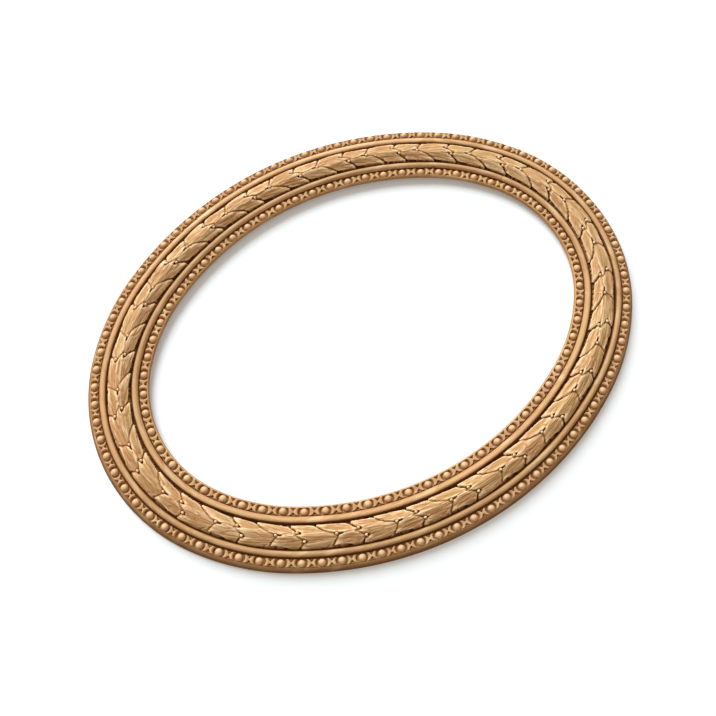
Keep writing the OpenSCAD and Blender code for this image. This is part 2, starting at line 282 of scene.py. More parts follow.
def make_piece(name, points, faces, values, slot, material, node):
    """Puts points and faces into a mesh that rides on the frame in place of one CAD node."""
    mesh = bpy.data.meshes.new(name)
    totals = np.concatenate([np.full(len(f), f.shape[1]) for f in faces])
    corners = np.concatenate([f.ravel() for f in faces])
    mesh.vertices.add(len(points))
    mesh.vertices.foreach_set("co", np.asarray(points, np.float32).ravel())
    mesh.loops.add(len(corners))
    mesh.loops.foreach_set("vertex_index", corners.astype(np.int32))
    mesh.polygons.add(len(totals))
    mesh.polygons.foreach_set("loop_start", (np.cumsum(totals) - totals).astype(np.int32))
    mesh.polygons.foreach_set("loop_total", totals.astype(np.int32))
    mesh.update(calc_edges=True)
    mesh.validate()
    mesh.shade_smooth()
    mesh.set_sharp_from_angle(angle=SHARP_FROM)
    for key, value in values.items():
        layer = mesh.attributes.new(key, "FLOAT", "POINT")
        layer.data.foreach_set("value", np.asarray(value, np.float32).ravel())
    mesh.materials.append(material)
    piece = bpy.data.objects.new(name, mesh)
    bpy.context.scene.collection.objects.link(piece)
    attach(piece, "frame")
    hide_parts(node)
    return piece


# The laurel garland. Tips point clockwise, and each row lies over the base of the one before: two
# leaves, then three. A row is its edges in order, in hundredths of a repeat along and of the width
# across from the outer side; where its front stands and how strong its cut is at FRONT_AT; and its
# folds, each with a depth in mm that fades to a share of it. A berry is its place in shares, and an
# eye its place, half length and half width in mm, and turn.

FRONT_AT = (0.0, 0.25, 0.54, 0.64, 1.0)
LEAF_ROWS = (
    ((((-45, 3), (-43.5, 10), (-41, 24), (-38.5, 37), (-36.5, 46.5)),
      ((-36.5, 46.5), (-33, 51), (-38, 54)),
      ((-38, 54), (-45.5, 58), (-54, 67), (-63.5, 82), (-73, 101)),
      ((-73, 101), (-66, 101), (-47, 100.5), (-27, 99.5), (-13, 96), (-2, 84)),
      ((-2, 84), (7, 74), (14, 62), (20, 45), (25, 33)),
      ((25, 33), (15, 19), (8, 5), (0, -8), (-10, -9), (-17, 0), (-30, 4.5), (-45, 3))),
     (-0.45, -0.405, -0.38, -0.53, -0.73), (1.3, 0.45, 0.3, 0.5, 1.5),
     ((((-30, 51.5), (-23, 56.5), (-14, 58.5), (-5, 55)), 0.55, 0.6),
      (((-43, 20), (-30, 21), (-15, 20), (0, 22)), 0.16, 0.2),
      (((-66, 86), (-50, 80), (-30, 77), (-10, 76)), 0.2, 0.3))),
    ((((1.5, -4), (4.5, 7), (8, 19), (10.5, 26)),
      ((10.5, 26), (6, 33.5), (-1, 43.5), (-7.8, 54)),
      ((-7.8, 54), (-4.5, 57.5), (2, 60.5)),
      ((2, 60.5), (-2, 68), (-7, 80), (-15, 100.5)),
      ((-15, 100.5), (-8, 101), (3, 100.5), (15, 100), (27, 98.5), (37, 93), (42, 84)),
      ((42, 84), (50, 74), (62, 60), (74, 45), (78, 33)),
      ((78, 33), (72, 25), (66, 12), (60, -4), (52, -10), (33, -10), (15, -10), (1.5, -4))),
     (0.02, 0.095, -0.07, -0.01, -0.15), (1.2, 0.7, 0.75, 1.1, 1.6),
     ((((1, 60), (9, 63.5), (20, 66), (34, 66)), 0.5, 0.0),
      (((43, -4), (46, 4), (50, 11), (54, 18)), 0.6, 0.1),
      (((10, 25.5), (19, 27.5), (32, 30), (46, 33)), 0.24, 0.0),
      (((-4, 53), (10, 47), (30, 46), (50, 46)), 0.22, 0.3),
      (((-10, 86), (4, 80), (20, 79), (36, 80)), 0.18, 0.3))),
)
BERRIES = ((-0.385, 0.505), (0.082, 0.262), (-0.035, 0.648))
EYES = ((-0.315, 0.515, 1.6, 0.75, 0.06), (0.118, 0.225, 0.9, 0.6, 0.35),
        (0.0, 0.635, 1.2, 0.95, -0.15))

# How far the ground, a leaf's body, its tip and a berry lie below the round profile
GROUND_DROP, BODY_DROP, TIP_DROP, BERRY_DROP = 0.6 * MM, 0.06 * MM, 0.22 * MM, 0.22 * MM
# FALL_REACH is in repeats, and TIP_REACH in falls
FALL_REACH, TIP_REACH, RIDGE_AT, INNER_LEAN, OUTER_LEAN = 0.66, 0.1, 0.54, 0.2, 0.12
# WIDEST_AT is in repeats, and the worn end's are shares of the way round
WIDEST_AT, WORN_AT, WORN_REACH = 2.8, 0.46, 0.13
CUT_VARIES, FOLD_FLOOR, FOLD_SIDES = 0.35, 0.42 * MM, 1.3 * MM
SPOT_REACH, BERRY_SEED, RING_DEPTH, SIDE_SHADE = 3.2 * MM, 7000, 0.45 * MM, -0.7 * MM
ROW_STRAY, BERRY_STRAY, VEIN_LINE, GOUGE_DEPTH = 0.28 * MM, 0.15 * MM, 0.28, 0.08 * MM
RAGGED, NICKS, CUTS = (0, 2.1 * MM, 1.5 * MM), (50, 0.8 * MM, 0.8 * MM), (30, 3 * MM, 3 * MM)
RIBS, VEINS, GOUGE = (500, 2.3 * MM, 13 * MM), (700, 1.25 * MM, 11 * MM), (900, 3.6 * MM, 2.6 * MM)


def curve_through(knots, count):
    """Points on the curve through all knots whose slope at each is that of its neighbours."""
    p = np.asarray(knots, float)
    p = np.concatenate([2 * p[:1] - p[1:2], p, 2 * p[-1:] - p[-2:-1]])
    t = np.linspace(0, len(p) - 3 - 1e-9, count)
    i, f = t.astype(int), (t % 1)[:, None]
    a, b, c, d = p[i], p[i + 1], p[i + 2], p[i + 3]
    square, cube = 2 * a - 5 * b + 4 * c - d, 3 * b - a - 3 * c + d
    return 0.5 * (2 * b + (c - a) * f + square * f ** 2 + cube * f ** 3)


def to_sides(x, y, a, b):
    """Distance to the nearest of the sides from a to b, and the share of all of them before it."""
    e = b - a
    px, py = x[..., None] - a[:, 0], y[..., None] - a[:, 1]
    t = np.clip((px * e[:, 0] + py * e[:, 1]) / np.maximum((e ** 2).sum(1), 1e-18), 0, 1)
    gaps = (px - t * e[:, 0]) ** 2 + (py - t * e[:, 1]) ** 2
    near = gaps.argmin(-1)[..., None]
    gap = np.sqrt(np.take_along_axis(gaps, near, -1)[..., 0])
    return gap, (near[..., 0] + np.take_along_axis(t, near, -1)[..., 0]) / len(a)


def depth_inside(x, y, outline):
    """Distance to the nearest side of a closed outline, positive inside it by the even-odd rule."""
    a, b = outline, np.roll(outline, -1, axis=0)
    gap, _ = to_sides(x, y, a, b)
    e = b - a
    px = x[..., None] - a[:, 0]
    spans = (a[:, 1] > y[..., None]) != (b[:, 1] > y[..., None])
    rise = np.where(np.abs(e[:, 1]) < 1e-12, 1e-12, e[:, 1])
    crossings = (spans & (px < (y[..., None] - a[:, 1]) * e[:, 0] / rise)).sum(-1)
    return np.where(crossings % 2 == 1, gap, -gap)


def stepped(value, low, high):
    """Goes smoothly from 0 at low to 1 at high."""
    t = np.clip((value - low) / (high - low), 0, 1)
    return t * t * (3 - 2 * t)


class Laurel:
    """Height of the carved garland above its own round profile, in metres."""

    def __init__(self, oval, sizes, laurel):
        rise = sizes.garland_top - sizes.garland_side
        half = sizes.garland_width / 2
        self.round = (half ** 2 + rise ** 2) / (2 * rise)
        self.zc = sizes.garland_top - self.round
        self.phi = math.asin(half / self.round)
        self.pitch = oval.crest_length / laurel.units
        self.laurel, self.half = laurel, half

    def across(self, v):
        """Length round the profile from the crest, for a share of the garland's width."""
        sine = (2 * v - 1) * self.half / self.round
        return self.round * np.arcsin(np.clip(sine, -0.995, 0.995))

    def place(self, unit):
        """Where a repeat starts: the spacing wanders by two waves round the oval."""
        wave = math.cos(4 * math.pi * (unit - WIDEST_AT) / self.laurel.units)
        return (unit + self.laurel.drift * wave) * self.pitch

    def crispness(self, unit):
        """Strength of the cuts of a repeat: full, but for the worn repeats round the left end."""
        units = self.laurel.units
        away = (unit % units - WORN_AT * units) / (WORN_REACH * units)
        return 1 - self.laurel.faint * math.exp(-away ** 2)

    def carve(self, x, a):
        """Relief over a grid: x along the crest and a round the profile, both rising lists."""
        laurel = self.laurel
        relief = np.full((len(x), len(a)), -laurel.leaf_fall - GROUND_DROP)
        first = int(math.floor(x[0] / self.pitch)) - 1
        last = int(math.ceil(x[-1] / self.pitch)) + 1
        for unit in range(first, last + 1):
            for number, row in enumerate(LEAF_ROWS):
                self.add_row(relief, x, a, unit, number, row)
            self.add_berries(relief, x, a, unit)
        return relief

    def window(self, x, a, low, high):
        """The part of the grid between two corners, as slices and as full coordinates."""
        i, j = np.searchsorted(x, [low[0], high[0]]), np.searchsorted(a, [low[1], high[1]])
        part = (slice(*i), slice(*j))
        return part, np.meshgrid(x[part[0]], a[part[1]], indexing="ij")

    def laid(self, knots, start, move):
        """A smooth line through knots, in metres along and round the profile."""
        u, v = curve_through(knots, 4 * len(knots)).T / 100
        sway = np.sin(np.pi * np.clip(v, 0, 1))
        return np.stack([start + u * self.pitch + move[0], self.across(v) + move[1] * sway], 1)

    def add_row(self, relief, x, a, unit, number, row):
        """Cuts a row's outline into what lies below it, then lays its folded, ribbed body there."""
        laurel = self.laurel
        edges, front, cuts, folds = row
        seed = (unit % laurel.units) * 8 + number
        rng = np.random.default_rng(seed)
        move, start = rng.normal(0, ROW_STRAY, 2), self.place(unit)
        outline = np.concatenate([self.laid(edge, start, move)[:-1] for edge in edges])
        margin = 4 * laurel.cut_width
        part, (gx, ga) = self.window(x, a, outline.min(0) - margin, outline.max(0) + margin)
        if gx.size == 0:
            return
        ragged = smooth_noise(seed, RAGGED, gx, ga)
        ragged = ragged + 0.5 * smooth_noise(seed, NICKS, gx, ga)
        inside = depth_inside(gx, ga, outline) + laurel.ragged * ragged
        v = 0.5 + np.sin(ga / self.round) * self.round / (2 * self.half)
        force = np.interp(v, FRONT_AT, cuts) * (1 + CUT_VARIES * smooth_noise(seed, CUTS, gx, ga))
        force = force * self.crispness(unit)
        away = np.maximum(-inside, 0) / (laurel.cut_width * (0.35 + 0.9 * force))
        below = relief[part] - laurel.cut_depth * force * np.exp(-away ** 2)
        back = gx - start - np.interp(v, FRONT_AT, front) * self.pitch
        body = self.leaf_form(v, inside, back)
        for knots, depth, end in folds:
            line = self.laid(knots, start, move)
            gap, along = to_sides(gx, ga, line[:-1], line[1:])
            depth = depth * MM * (1 - (1 - end) * along) * (along < 0.999)
            floor, sides = np.exp(-(gap / FOLD_FLOOR) ** 2), np.exp(-gap / FOLD_SIDES)
            body -= depth * (0.6 * floor + 0.4 * sides)
        body += self.tooling(seed, gx, ga, v, start)
        relief[part] = np.where(inside > 0, body, below)

    def leaf_form(self, v, inside, back):
        """A fall by the square from tip to base, a rounded edge, a swell and flat flanks."""
        laurel = self.laurel
        t = np.clip(back / (FALL_REACH * self.pitch), 0, 1)
        fall = laurel.leaf_fall * t ** 2 + TIP_DROP * np.exp(-(t / TIP_REACH) ** 2)
        edge = np.clip(inside / laurel.edge_round, 0, 1)
        drop = laurel.edge_drop * (1 - np.sqrt(1 - (1 - edge) ** 2))
        swell = laurel.swell * np.exp(-np.maximum(inside, 0) / laurel.swell_width)
        roof = laurel.roof * np.sin(2 * math.pi * (v - RIDGE_AT)) ** 2
        return -BODY_DROP - fall - drop - swell - roof

    def tooling(self, seed, gx, ga, v, start):
        """Ribs and veins, noises drawn out along the leaf, and the marks of the gouge."""
        laurel = self.laurel
        lean = INNER_LEAN * stepped(v, 0.5, 0.95) - OUTER_LEAN * stepped(v, 0.5, 0.05)
        side = ga + lean * (gx - start)
        ribs = smooth_noise(seed, RIBS, side, gx)
        veins = np.abs(smooth_noise(seed, VEINS, side, gx))
        veins = 1 - 2 * np.clip(1 - veins / VEIN_LINE, 0, 1)
        marks = smooth_noise(seed, GOUGE, gx, ga)
        drawn = laurel.rib_depth * (ribs - 1) / 2 + laurel.vein_depth * (veins - 1) / 2
        return drawn + GOUGE_DEPTH * (marks - 1)

    def spot(self, x, a, unit, u, v, stray=0.0):
        """The window round a place in a repeat, and its grid measured from that place."""
        at = np.array([self.place(unit) + u * self.pitch, float(self.across(v))]) + stray
        part, (gx, ga) = self.window(x, a, at - SPOT_REACH, at + SPOT_REACH)
        return part, gx - at[0], ga - at[1]

    def add_berries(self, relief, x, a, unit):
        """Drills the eyes as smooth-sided ovals, then sets berries with a ring cut round each."""
        laurel = self.laurel
        for u, v, long, wide, turn in EYES:
            part, dx, da = self.spot(x, a, unit, u, v)
            c, s = math.cos(turn), math.sin(turn)
            r = np.hypot((c * dx + s * da) / (long * MM), (c * da - s * dx) / (wide * MM))
            relief[part] -= laurel.eye_depth * np.clip(1.2 - r, 0, 1) ** 0.6
        for number, (u, v) in enumerate(BERRIES):
            rng = np.random.default_rng((unit % laurel.units) * 4 + number + BERRY_SEED)
            part, dx, da = self.spot(x, a, unit, u, v, rng.normal(0, BERRY_STRAY, 2))
            r = np.hypot(dx, da) / laurel.berry
            ball = -BERRY_DROP - laurel.berry * (1 - np.sqrt(1 - np.clip(r, 0, 1) ** 2))
            ring = relief[part] - RING_DEPTH * np.exp(-((r - 1.2) / 0.3) ** 2)
            relief[part] = np.where(r < 1, np.maximum(ball, relief[part]), ring)


def garland_piece(oval, sizes, laurel, arc):
    """Round profile plus relief along its normal over one arc, closed by its sides and seat."""
    carving = Laurel(oval, sizes, laurel)
    start = oval.crest_from[arc]
    span = oval.crest_from[arc + 1] - start
    rows = max(int(round(span / laurel.mesh_step)), 2) + 1
    cols = int(round(2 * carving.phi * carving.round / laurel.mesh_step)) + 1
    x = start + span * np.linspace(0, 1, rows) - laurel.unit_shift * carving.pitch
    a = np.linspace(-carving.phi, carving.phi, cols) * carving.round
    relief = carving.carve(x, a)
    # Height over its running mean, which the finish paints as shade in hollows and as a highlight on
    # ridges; the sides are painted in shade
    hollow = relief - blurred(relief)
    angle = a / carving.round
    reach = carving.round + relief
    depth = oval.crest_in + reach * np.sin(angle)
    side = np.abs(np.sin(angle)) * carving.round / carving.half
    height = carving.zc + reach * np.cos(angle) + laurel.flank_lift * side ** 4
    sides = (oval.crest_in - carving.half, oval.crest_in + carving.half)
    depth, height, hollow = (
        np.pad(field, ((0, 0), (1, 1)), constant_values=((0, 0), ends)) for field, ends in
        ((depth, sides), (height, (sizes.garland_seat,) * 2), (hollow, (SIDE_SHADE,) * 2)))
    points = oval.points(arc, oval.angles(arc, rows)[:, None], depth, height)
    return points.reshape(-1, 3), tube_faces(rows, cols + 2), {"relief": hollow / MM}


# The rows of pearls

# The rings of a ball go down to BALL_TILT degrees, and two numbers are how much balls differ
TURNS, LEVELS, BALL_TILT, BALL_VARIES, BALL_OVAL = 20, 8, 105, 0.012, 0.015
LAND_STEP, LAND_COLS, RIM_COLS = 0.26 * MM, 25, 31
LAND_ROUGH, LANDS = 0.05 * MM, (40, 3 * MM, 2 * MM)
# In cup diameters, in pitches, and as a share of the height
BOWL_FROM, BOWL_WALL, SADDLE_HALF, BEVEL_LOSS = 0.395, 0.13, 0.14, 0.75
# Relief that the finish reads, less on flats, worn bevels and the rim's fall: painted shade
# where it is low, and a painted highlight where it is high
LAND_MOST, FLAT_LOSS, WORN_LOSS = 0.12 * MM, 0.03 * MM, 0.35 * MM
# A painted highlight on the rim, painted shade down its fall, and painted shade on the faces below
RIM_LIGHT, RIM_DARK, UNDER_SHADE = 0.1 * MM, 0.38 * MM, -0.24 * MM


def pearl_ball(oval, arc, nu, depth, pearls, rng, first):
    """A ball: rings at even steps from its top to just below its widest, then a flat foot."""
    tilt = np.radians(np.linspace(0, BALL_TILT, LEVELS + 1))[1:]
    spin = np.arange(TURNS) * 2 * math.pi / TURNS
    r = pearls.pearl / 2 * (1 + rng.normal(0, BALL_VARIES))
    shift = rng.normal(0, pearls.unevenness, 2)
    centre = oval.points(arc, nu, depth + shift[0], pearls.pearl_top - r)
    out = np.array([math.cos(nu), math.sin(nu)])
    side = np.array([-out[1], out[0]])
    ring = np.sin(tilt)[:, None]
    across = ring * np.cos(spin) * r
    along = ring * np.sin(spin) * r * (1 + rng.normal(0, BALL_OVAL)) + shift[1]
    xy = centre[:2] + across[..., None] * out + along[..., None] * side
    z = np.broadcast_to(centre[2] + r * np.cos(tilt)[:, None], across.shape)
    body = np.concatenate([xy, z[..., None]], -1).reshape(-1, 3)
    middle = centre[:2] + shift[1] * side
    ends = [np.append(middle, centre[2] + r * c) for c in (1.0, math.cos(tilt[-1]))]
    j, last = np.arange(TURNS), LEVELS * TURNS
    k = (j + 1) % TURNS
    low = last - TURNS
    cap, foot = (np.stack([*pair, np.full(TURNS, end)], -1)
                 for pair, end in (((j, k), last), ((low + k, low + j), last + 1)))
    rise = np.append(np.repeat(np.cos(tilt), TURNS), [1.0, -1.0])
    # Painted light on each ball: a painted highlight towards its top and painted shade at its foot
    shade = 0.2 * rise - 0.45 * stepped(rise, 0.05, -0.2)
    faces = [part + first for part in (ring_quads(LEVELS, TURNS), cap, foot)]
    return np.vstack([body, *ends]), faces, shade


def land_height(along, across, worn, pitch, pearls, half, rim):
    """A bowl round each pearl, a land that two wedges cut to an X, and a rim on one side."""
    r = np.hypot(pitch / 2 - np.abs(along), across)
    wall = (r - BOWL_FROM * pearls.cup) / (BOWL_WALL * pearls.cup)
    bowl = np.sin(np.pi / 2 * np.clip(wall, 0, 1))
    inward = np.abs(across) - pearls.wedge_from
    side = inward * pearls.wedge_spread - np.abs(along)
    wedge = stepped(side, -0.35 * MM, 0.45 * MM) * (pearls.wedge_depth - pearls.wedge_rise * inward)
    middle = np.clip(1 - np.abs(along) / (SADDLE_HALF * pitch), 0, 1)
    land = pearls.land_top - np.maximum(wedge, pearls.saddle * stepped(middle, 0, 1))
    height = pearls.cup_floor + (land - pearls.cup_floor) * bowl
    height = height - (height - pearls.cup_floor) * BEVEL_LOSS * worn ** 2
    if not rim:
        return height
    edge = stepped(across, half - 0.35 * MM, half - 0.05 * MM)
    fall = pearls.rim_fall * np.clip((across - half) / rim, 0, 1) ** 2
    return height * (1 - edge) + (pearls.land_top - pearls.rim_drop - fall) * edge


def land_relief(height, across, worn, half, rim):
    """Height over its running mean up to a limit, less on bevels; the rim has its own."""
    over = np.minimum(0.9 * (height - blurred(height)), LAND_MOST)
    # Worn bevels get painted shade where the strip meets the rounds, and flats are a little darker
    relief = over - FLAT_LOSS - WORN_LOSS * worn
    if rim:
        # The rim: a painted highlight near the lands, fading to painted shade as it falls toward the
        # opening
        fall = RIM_DARK * ((across - half) / rim) ** 2
        relief = np.where(across > half, RIM_LIGHT - fall, relief)
    return relief


def pearl_piece(oval, sizes, pearls, arc, count, depth_in, tongue):
    """A strip of lands and cups as a height over a grid, closed below, with a ball in each cup."""
    half = sizes.row_width / 2
    turn = math.radians(ARC_FROM[arc + 1] - ARC_FROM[arc])
    span = turn * (oval.radius[arc] - depth_in)
    pitch = span / count
    rim = pearls.rim if tongue else 0.0
    rows = int(round(pitch / LAND_STEP)) * count + 1
    s = np.linspace(0, span, rows)[:, None]
    across = np.linspace(-half, half + rim, RIM_COLS if rim else LAND_COLS)[None, :]
    along = (s + pitch / 2) % pitch - pitch / 2
    worn = np.clip(1 - (half - np.abs(across)) / pearls.bevel, 0, 1) * (across < 0 if rim else 1)
    height = land_height(along, across, worn, pitch, pearls, half, rim)
    height = height + LAND_ROUGH * smooth_noise(arc + int(tongue), LANDS, s, across)
    relief = land_relief(height, across, worn, half, rim)
    low, side = sizes.rebate_height, depth_in - half
    ends = [(depth_in + half + rim, low), (side, low)]
    if tongue:
        tip, top = side - sizes.tongue_width, low + sizes.tongue_height
        ends += [(tip, low), (tip, top), (side, top)]
    ends = np.array(ends)
    depth = np.hstack([depth_in + across + 0 * s, np.tile(ends[:, 0], (rows, 1))])
    height = np.hstack([height, np.tile(ends[:, 1], (rows, 1))])
    relief = np.hstack([relief, np.full((rows, len(ends)), UNDER_SHADE)])
    points = oval.points(arc, oval.angles(arc, rows)[:, None], depth, height).reshape(-1, 3)
    parts, faces, values = [points], tube_faces(rows, depth.shape[1]), [relief.ravel() / MM]
    rng = np.random.default_rng(arc * 10 + int(tongue))
    total = len(points)
    for number in range(count):
        nu = math.radians(ARC_FROM[arc]) + (number + 0.5) * (turn / count)
        ball, ball_faces, shade = pearl_ball(oval, arc, nu, depth_in, pearls, rng, total)
        parts.append(ball)
        faces += ball_faces
        values.append(shade)
        total += len(ball)
    is_ball = np.arange(total) >= len(points)
    return np.vstack(parts), faces, {"relief": np.concatenate(values), "ball": is_ball}


# Materials

class Wire:
    """One output socket. Arithmetic on it adds Math nodes."""

    def __init__(self, graph, socket):
        self.graph, self.socket = graph, socket

    def math(self, operation, *others, clamp=False):
        values = {k: v for k, v in enumerate((self,) + others)}
        return self.graph.node("ShaderNodeMath", values, operation=operation, use_clamp=clamp)

    def __add__(self, other):
        return self.math("ADD", other)

    def __sub__(self, other):
        return self.math("SUBTRACT", other)

    def __mul__(self, other):
        return self.math("MULTIPLY", other)

    def __rsub__(self, other):
        return self.graph.node("ShaderNodeMath", {0: other, 1: self}, operation="SUBTRACT")

    __radd__, __rmul__ = __add__, __mul__

    def clamped(self):
        return self.math("ADD", 0.0, clamp=True)

    def away(self, place):
        """Its distance from a number."""
        return (self - float(place)).math("ABSOLUTE")

    def mapped(self, low, high, to_low=0.0, to_high=1.0, smooth=False):
        """Runs from to_low to to_high as the value goes from low to high, and holds outside."""
        values = {"Value": self, "From Min": low, "From Max": high,
                  "To Min": to_low, "To Max": to_high}
        kind = "SMOOTHSTEP" if smooth else "LINEAR"
        return self.graph.node("ShaderNodeMapRange", values, interpolation_type=kind)


class Graph:
    """The node tree of one material, or of the world."""

    def __init__(self, owner):
        owner.use_nodes = True
        self.tree = owner.node_tree
        self.tree.nodes.clear()

    def node(self, kind, values=None, out=0, **settings):
        """Adds a node, sets its settings, then sets or links its sockets; returns one output."""
        made = self.tree.nodes.new(kind)
        for key, value in settings.items():
            setattr(made, key, value)
        for key, value in (values or {}).items():
            if isinstance(value, Wire):
                self.tree.links.new(value.socket, made.inputs[key])
            else:
                made.inputs[key].default_value = value
        return Wire(self, made.outputs[out]) if len(made.outputs) else made

    def mix(self, factor, a, b):
        """Colour a where the factor is 0, and b where it is 1."""
        a, b = (each if isinstance(each, Wire) else (*each, 1) for each in (a, b))
        return self.node("ShaderNodeMix", {0: factor, 6: a, 7: b}, out=2, data_type="RGBA")

    def attribute(self, name):
        """A number that the mesh carries at each point."""
        return self.node("ShaderNodeAttribute", out=2, attribute_name=name)

    def place(self):
        """Object coordinates, which are the same for every piece."""
        return self.node("ShaderNodeTexCoord", out=3)

    def grain(self, kind, turn=0.0, shift=(0, 0, 0)):
        """Noise on object coordinates turned to lie along the grain. A kind is its steps in a metre
        along it and across, its detail, roughness and distortion."""
        along, across, detail, rough, distortion = kind
        laid = {"Vector": self.place(), "Rotation": (0, 0, -turn), "Location": shift}
        drawn = {"Vector": self.node("ShaderNodeMapping", laid), "Scale": (along, across, across)}
        values = {"Vector": self.node("ShaderNodeMapping", drawn), "Scale": 1.0,
                  "Detail": detail, "Roughness": rough, "Distortion": distortion}
        return self.node("ShaderNodeTexNoise", values)

    def seen(self):
        """1 for rays from the camera, mirrored ones and ones through clear matter, else 0."""
        camera, mirrored, through = (self.node("ShaderNodeLightPath", out=k) for k in (0, 3, 6))
        return (camera + mirrored + through).clamped()

    def finish(self, shader):
        self.node("ShaderNodeOutputMaterial", {"Surface": shader})


BEND, LINES = (9, 30, 3, 0.5, 0.0), (14, 330, 3, 0.55, 0.6)
STREAKS, FIBRES = (40, 720, 2, 0.6, 0.0), (70, 1500, 2, 0.6, 0.0)
PATCH, BLUSH = (90, 160, 3, 0.5, 0.0), (40, 120, 2, 0.5, 0.0)
LUMP, HUE = (110, 260, 2, 0.5, 0.0), (18, 45, 2, 0.5, 0.0)
BRUSHED, CLOUD = (300, 6000, 2, 0.5, 0.0), (180, 180, 3, 0.5, 0.0)
RECESS_SHARE, BALL_SHARE, GRAIN_DEPTH = 0.93, 0.35, 0.16 * MM
GRAIN_SEED, GRAIN_SHIFT = 100, 0.4


def wood(name, colours, turn, seed, painted_light=None, lean=None, tint=0.0):
    """Raw wood: growth lines and fibres along the grain, colour patches, painted shade in cuts,
    and worn edges that also carry a painted highlight.
    """
    material = bpy.data.materials.new(name)
    g = Graph(material)
    a, b, c = np.random.default_rng(seed + GRAIN_SEED).uniform(-GRAIN_SHIFT, GRAIN_SHIFT, 3)
    bend, lines, streaks, fibres, patch, lump = (
        g.grain(kind, turn, (a, b, c)) for kind in (BEND, LINES, STREAKS, FIBRES, PATCH, LUMP))
    blush, hue = g.grain(BLUSH, turn, (b, c, a)), g.grain(HUE, turn, (c, a, b))
    growth = lines.mapped(0.4, 0.62, 0.0, 0.6, smooth=True) + fibres.mapped(0.35, 0.68, 0.0, 0.4)
    growth = growth * colours.contrast + bend.mapped(0.35, 0.7, -0.1, 0.2)
    growth = growth + streaks.mapped(0.5, 0.64, 0.0, 0.42)
    body = g.mix(growth.clamped(), colours.light, colours.dark)
    for noise, low, high, most, tone in (
            (patch, 0.5, 0.66, 0.55, colours.warm), (blush, 0.52, 0.7, 0.45, colours.pale_and_highlight),
            (hue, 0.52, 0.66, 0.45, colours.warm), (hue, 0.48, 0.34, 0.45, colours.olive)):
        body = g.mix(noise.mapped(low, high, 0.0, most, smooth=True), body, tone)
    if tint:
        body = g.mix(abs(tint), body, colours.dark if tint < 0 else colours.pale_and_highlight)
    body = g.mix(g.attribute("ball") * BALL_SHARE, body, colours.warm)
    # Painted light from the carving's relief, or from the ring's own masks: painted shade in hollows
    # and cuts, and a painted highlight with the worn edges on ridges
    relief = g.attribute("relief")
    if painted_light:
        cut, worn = painted_light(g)
    else:
        cut, worn = relief.mapped(-0.12, -0.78, smooth=True), relief.mapped(0.03, 0.26, 0.0, 0.8)
    shaded = g.mix(relief.mapped(0.02, -0.24, 0.0, 0.52), body, colours.dark)
    lit = g.mix(worn, shaded, colours.pale_and_highlight)
    base = g.mix(cut * RECESS_SHARE, lit, colours.recess_shade)
    grain = lines * 0.5 + fibres + lump * 3.0
    bump = g.node("ShaderNodeBump", {"Height": grain, "Strength": 0.5, "Distance": GRAIN_DEPTH})
    if lean:
        bump = g.node("ShaderNodeBump", {
            "Height": lean(g), "Strength": 1.0, "Distance": 1.0, "Normal": bump})
    g.finish(g.node("ShaderNodeBsdfPrincipled", {
        "Base Color": base, "Roughness": fibres.mapped(0.3, 0.7, 0.58, 0.74), "Normal": bump,
        "IOR": 1.3, "Specular IOR Level": 0.1}))
    return material


def edge_distance(g, oval, arc):
    """Distance in from the outer edge, from the distance to the arc's centre, and the height."""
    place = g.place()
    flat = g.node("ShaderNodeVectorMath", {0: place, 1: (1, 1, 0)}, operation="MULTIPLY")
    centre = (*oval.centre[arc], 0)
    reach = g.node("ShaderNodeVectorMath", {0: flat, 1: centre}, out=1, operation="DISTANCE")
    return oval.radius[arc] - reach, g.node("ShaderNodeSeparateXYZ", {0: place}, out=2)


# Lines of painted shade in the grooves at the joints, from the outer one inwards: how far in from it
# and how wide, in mm
JOINT_LINES, LINE_FULL = ((0.35, 1.1), (-0.3, 1.05), (0.4, 1.1), (0.0, 0.8)), 0.4
OUTER_TILT, INNER_TILT = 0.18, 0.2


def ring_painted_light(oval, sizes, arc):
    """Painted shade in the grooves where rounds meet carved courses and on the sloped outer edge,
    and a painted highlight along the crests.
    """
    strip, wide = oval.garland_in + sizes.garland_width, sizes.round_width
    joints = (oval.garland_in - wide, oval.garland_in, strip, oval.strip_in)

    def painted_light(g):
        depth, height = edge_distance(g, oval, arc)
        # Painted shade on the sloped outer edge, darkest at the edge
        dark = depth.mapped(3.0 * MM, 0.4 * MM, 0.0, 0.78, smooth=True)
        dark *= height.mapped(0.1 * MM, 0.6 * MM)
        front = height.mapped(3 * MM, 4 * MM)
        # Painted shade along the grooves at the joints, on the top faces only
        for joint, (off, reach) in zip(joints, JOINT_LINES):
            line = depth.away(joint + off * MM)
            dark += line.mapped(reach * MM, LINE_FULL * reach * MM, smooth=True) * front
        # A painted highlight along the crest of each round
        worn = 0.0
        for crest in (oval.garland_in - wide / 2, strip + wide / 2):
            worn += depth.away(crest).mapped(1.9 * MM, 0.2 * MM, 0.0, 0.26, smooth=True)
        return dark.clamped(), worn * front
    return painted_light


def ring_lean(oval, sizes, arc):
    """A height that makes both rounds face a little away from the garland."""
    def lean(g):
        depth, height = edge_distance(g, oval, arc)
        wide, inner = sizes.round_width, oval.garland_in + sizes.garland_width
        rise = depth.mapped(oval.garland_in - wide, oval.garland_in, 0.0, OUTER_TILT * wide)
        fall = depth.mapped(inner, oval.strip_in, 0.0, INNER_TILT * wide)
        return (rise - fall) * height.mapped(3 * MM, 3.1 * MM)
    return lean


CLOUD_DARK, BRUSH_DEPTH, STEEL_TURN, STEEL_ROUGH, BRASS_ROUGH = 0.72, 0.03 * MM, 0.6, 0.34, 0.28


